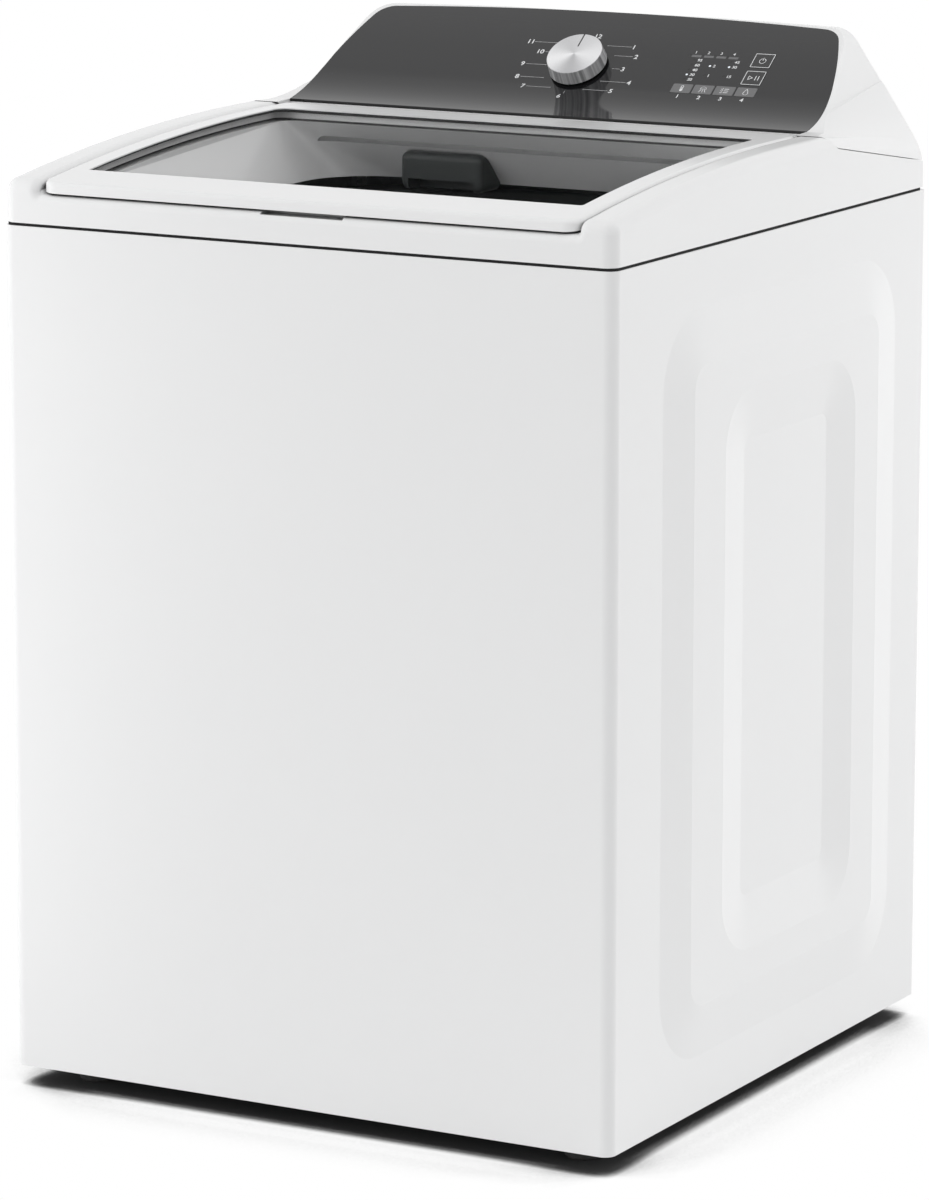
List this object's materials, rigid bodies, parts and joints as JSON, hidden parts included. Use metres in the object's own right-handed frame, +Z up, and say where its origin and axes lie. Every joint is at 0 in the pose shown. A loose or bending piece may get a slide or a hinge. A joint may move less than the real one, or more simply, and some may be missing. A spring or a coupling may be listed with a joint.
{
  "type": "top load washing machine",
  "caption": "Full-size washing machine loaded through a glazed lid in its top, with a raised rear control console, a hanging tub, a perforated basket and an agitator.",
  "frame": {"origin": "on the floor below the middle of the cabinet", "axes": "+Z up, the front faces -Y, +X to the right as seen from the front"},
  "size_m": [0.713, 0.711, 1.0771],
  "materials": {
    "white_enamel": "smooth gloss enamel on steel",
    "galvanised": "galvanised sheet",
    "white_plastic": "smooth white moulding",
    "seam_rubber": "matt black",
    "facia_dark": "deep grey gloss with printed graphics",
    "smoked_glass": "smoked tempered glass",
    "knob_metal": "turned face, brushed side",
    "black_plastic": "fine matt",
    "grey_key": "satin grey with printed symbol",
    "dark_key": "gloss with outlined symbol",
    "light_lens": "milky lens",
    "board_green": "circuit board",
    "grey_plastic": "plain moulding",
    "tub_plastic": "ribbed polypropylene",
    "dark_plastic": "fine grained dark moulding",
    "stainless": "brushed stainless",
    "steel": "plain steel",
    "zinc_casting": "cast",
    "foot_rubber": "matt",
    "belt_rubber": "ribbed"
  },
  "bodies": {
    "cabinet": {"cabinet_wrapper": "white_enamel", "rear_panel": "galvanised", "base_frame": "galvanised", "top_gasket": "seam_rubber", "top_panel": "white_plastic", "console_housing": "white_plastic", "console_facia": "facia_dark", "console_rear_cover": "white_plastic", "control_board": "board_green", "indicator_lights": "light_lens", "selector_switch": "black_plastic", "water_inlet_valve": "grey_plastic", "inlet_nozzle": "dark_plastic", "lid_lock_housing": "black_plastic", "hinge_brackets": "steel", "hanger_brackets": "galvanised", "suspension_rods": "steel", "suspension_springs": "steel", "drain_pipe": "grey_plastic", "drain_bellows": "seam_rubber", "cord_gland": "black_plastic", "cabinet_screws": "steel"},
    "lid": {"lid_frame": "white_plastic", "lid_glass": "smoked_glass", "lid_hinge_pins": "steel", "lid_strike": "grey_plastic"},
    "knob": {"knob_cap": "knob_metal", "knob_core": "black_plastic"},
    "power_button": {"power_key": "dark_key"},
    "start_button": {"start_key": "dark_key"},
    "option_button_1": {"option_key_1": "grey_key"},
    "option_button_2": {"option_key_2": "grey_key"},
    "option_button_3": {"option_key_3": "grey_key"},
    "option_button_4": {"option_key_4": "grey_key"},
    "lid_lock": {"lid_lock_bolt": "steel"},
    "foot_front_left": {"front_left_foot": "foot_rubber"},
    "foot_front_right": {"front_right_foot": "foot_rubber"},
    "foot_rear_left": {"rear_left_foot": "foot_rubber"},
    "foot_rear_right": {"rear_right_foot": "foot_rubber"},
    "tub": {"outer_tub": "tub_plastic", "tub_ring": "dark_plastic", "gearcase_housing": "zinc_casting", "spin_bearings": "steel", "tub_seal": "seam_rubber", "motor": "zinc_casting", "motor_bracket": "galvanised", "drain_pump": "grey_plastic", "drive_belt": "belt_rubber"},
    "basket": {"wash_basket": "stainless", "balance_ring": "grey_plastic", "basket_hub": "zinc_casting"},
    "agitator": {"wash_plate": "tub_plastic", "agitator_post": "tub_plastic", "agitator_shaft": "steel"},
    "pulley": {"drive_pulley": "zinc_casting"},
    "planet_1": {"planet_gear_1": "steel"},
    "planet_2": {"planet_gear_2": "steel"},
    "planet_3": {"planet_gear_3": "steel"},
    "rotor": {"motor_rotor": "steel"},
    "impeller": {"pump_impeller": "grey_plastic"}
  },
  "joints": [
    {"name": "lid_hinge", "type": "hinge", "parent": "cabinet", "child": "lid", "pos_m": [0, 0.114, 0.97], "axis": [-1, 0, 0], "range_deg": [0, 105]},
    {"name": "knob_turn", "type": "hinge", "parent": "cabinet", "child": "knob", "pos_m": [0, 0.22821, 1.02499], "axis": [0, -0.5955, 0.8033], "continuous": true},
    {"name": "power_press", "type": "slide", "parent": "cabinet", "child": "power_button", "axis": [0, 0.5955, -0.8033], "range_m": [0, 0.0008], "stiffness_N_per_m": 800, "springref_m": -0.0004},
    {"name": "start_press", "type": "slide", "parent": "cabinet", "child": "start_button", "axis": [0, 0.5955, -0.8033], "range_m": [0, 0.0008], "stiffness_N_per_m": 800, "springref_m": -0.0004},
    {"name": "option_press_1", "type": "slide", "parent": "cabinet", "child": "option_button_1", "axis": [0, 0.5955, -0.8033], "range_m": [0, 0.0008], "stiffness_N_per_m": 800, "springref_m": -0.0004},
    {"name": "option_press_2", "type": "slide", "parent": "cabinet", "child": "option_button_2", "axis": [0, 0.5955, -0.8033], "range_m": [0, 0.0008], "stiffness_N_per_m": 800, "springref_m": -0.0004},
    {"name": "option_press_3", "type": "slide", "parent": "cabinet", "child": "option_button_3", "axis": [0, 0.5955, -0.8033], "range_m": [0, 0.0008], "stiffness_N_per_m": 800, "springref_m": -0.0004},
    {"name": "option_press_4", "type": "slide", "parent": "cabinet", "child": "option_button_4", "axis": [0, 0.5955, -0.8033], "range_m": [0, 0.0008], "stiffness_N_per_m": 800, "springref_m": -0.0004},
    {"name": "lid_lock_slide", "type": "slide", "parent": "cabinet", "child": "lid_lock", "axis": [-1, 0, 0], "range_m": [0, 0.009]},
    {"name": "front_left_foot_level", "type": "slide", "parent": "cabinet", "child": "foot_front_left", "axis": [0, 0, -1], "range_m": [0, 0.02]},
    {"name": "front_right_foot_level", "type": "slide", "parent": "cabinet", "child": "foot_front_right", "axis": [0, 0, -1], "range_m": [0, 0.02]},
    {"name": "rear_left_foot_level", "type": "slide", "parent": "cabinet", "child": "foot_rear_left", "axis": [0, 0, -1], "range_m": [0, 0.02]},
    {"name": "rear_right_foot_level", "type": "slide", "parent": "cabinet", "child": "foot_rear_right", "axis": [0, 0, -1], "range_m": [0, 0.02]},
    {"name": "tub_sink", "type": "slide", "parent": "cabinet", "child": "tub", "axis": [0, 0, 1], "range_m": [-0.02, 0.006], "stiffness_N_per_m": 16000, "springref_m": 0.02085, "deforming": ["suspension_springs", "drain_bellows"]},
    {"name": "basket_spin", "type": "hinge", "parent": "tub", "child": "basket", "pos_m": [0, -0.015, 0.336], "axis": [0, 0, 1], "continuous": true},
    {"name": "agitator_turn", "type": "hinge", "parent": "tub", "child": "agitator", "pos_m": [0, -0.015, 0.34], "axis": [0, 0, 1], "continuous": true},
    {"name": "pulley_turn", "type": "hinge", "parent": "tub", "child": "pulley", "pos_m": [0, -0.015, 0.16], "axis": [0, 0, 1], "continuous": true},
    {"name": "planet_turn_1", "type": "hinge", "parent": "agitator", "child": "planet_1", "pos_m": [0.02475, -0.015, 0.204], "axis": [0, 0, 1], "continuous": true},
    {"name": "planet_turn_2", "type": "hinge", "parent": "agitator", "child": "planet_2", "pos_m": [-0.01238, 0.00643, 0.204], "axis": [0, 0, 1], "continuous": true},
    {"name": "planet_turn_3", "type": "hinge", "parent": "agitator", "child": "planet_3", "pos_m": [-0.01238, -0.03643, 0.204], "axis": [0, 0, 1], "continuous": true},
    {"name": "motor_turn", "type": "hinge", "parent": "tub", "child": "rotor", "pos_m": [-0.15588, -0.08769, 0.2], "axis": [0, 0, 1], "continuous": true},
    {"name": "impeller_turn", "type": "hinge", "parent": "tub", "child": "impeller", "pos_m": [0.118, 0.118, 0.23], "axis": [0, 0, 1], "continuous": true}
  ],
  "couplings": [
    {"joint": "pulley_turn", "follows": "agitator_turn", "ratio": 4.7143},
    {"joint": "planet_turn_1", "follows": "agitator_turn", "ratio": -2.7368},
    {"joint": "planet_turn_2", "follows": "agitator_turn", "ratio": -2.7368},
    {"joint": "planet_turn_3", "follows": "agitator_turn", "ratio": -2.7368},
    {"joint": "motor_turn", "follows": "agitator_turn", "ratio": 16.071}
  ]
}
